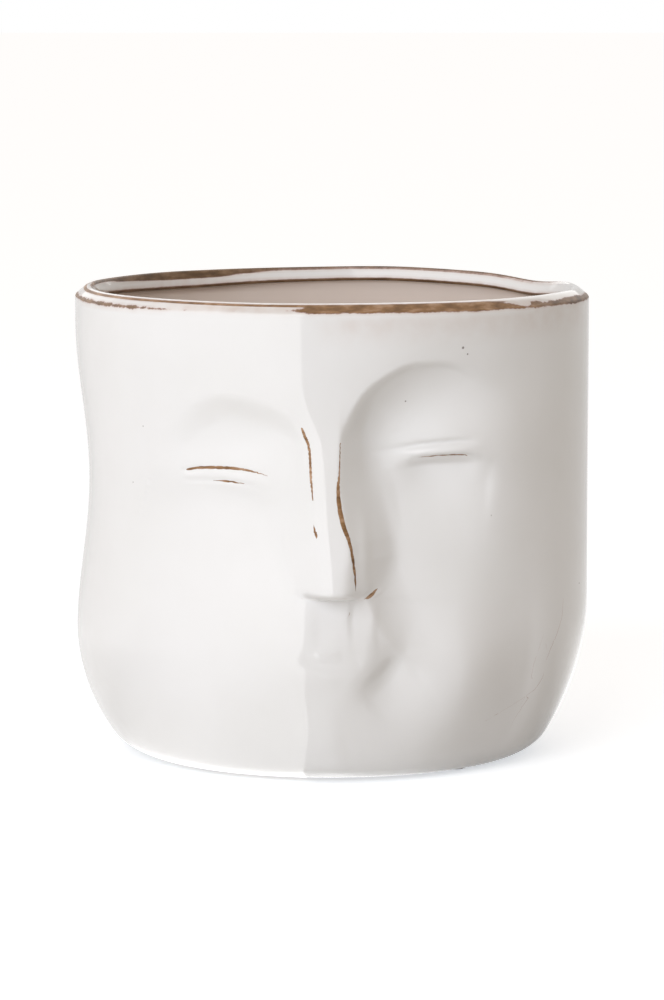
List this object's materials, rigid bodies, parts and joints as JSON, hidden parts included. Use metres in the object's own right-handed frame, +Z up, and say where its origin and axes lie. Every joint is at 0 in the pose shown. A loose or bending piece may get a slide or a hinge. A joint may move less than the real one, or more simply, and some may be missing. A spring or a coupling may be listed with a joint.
{
  "type": "head planter",
  "caption": "Round glazed stoneware plant pot with a closed-eyed face in relief, a brown-edged rim and an open well for a plant, standing on felt pads.",
  "frame": {"origin": "middle of the part's bounding box on the plane it stands on; the pot's own axis is 5 mm behind it", "axes": "+Z up, the face looks along -Y, +X to the right of a viewer who faces it"},
  "size_m": [0.1854, 0.1959, 0.168],
  "materials": {
    "glazed_stoneware": "glossy cream-white glaze that breaks brown on edges",
    "felt": "matt pressed felt, undyed"
  },
  "bodies": {
    "root": {"pot_body": "glazed_stoneware", "felt_pad_1": "felt", "felt_pad_2": "felt", "felt_pad_3": "felt", "felt_pad_4": "felt"}
  },
  "joints": []
}
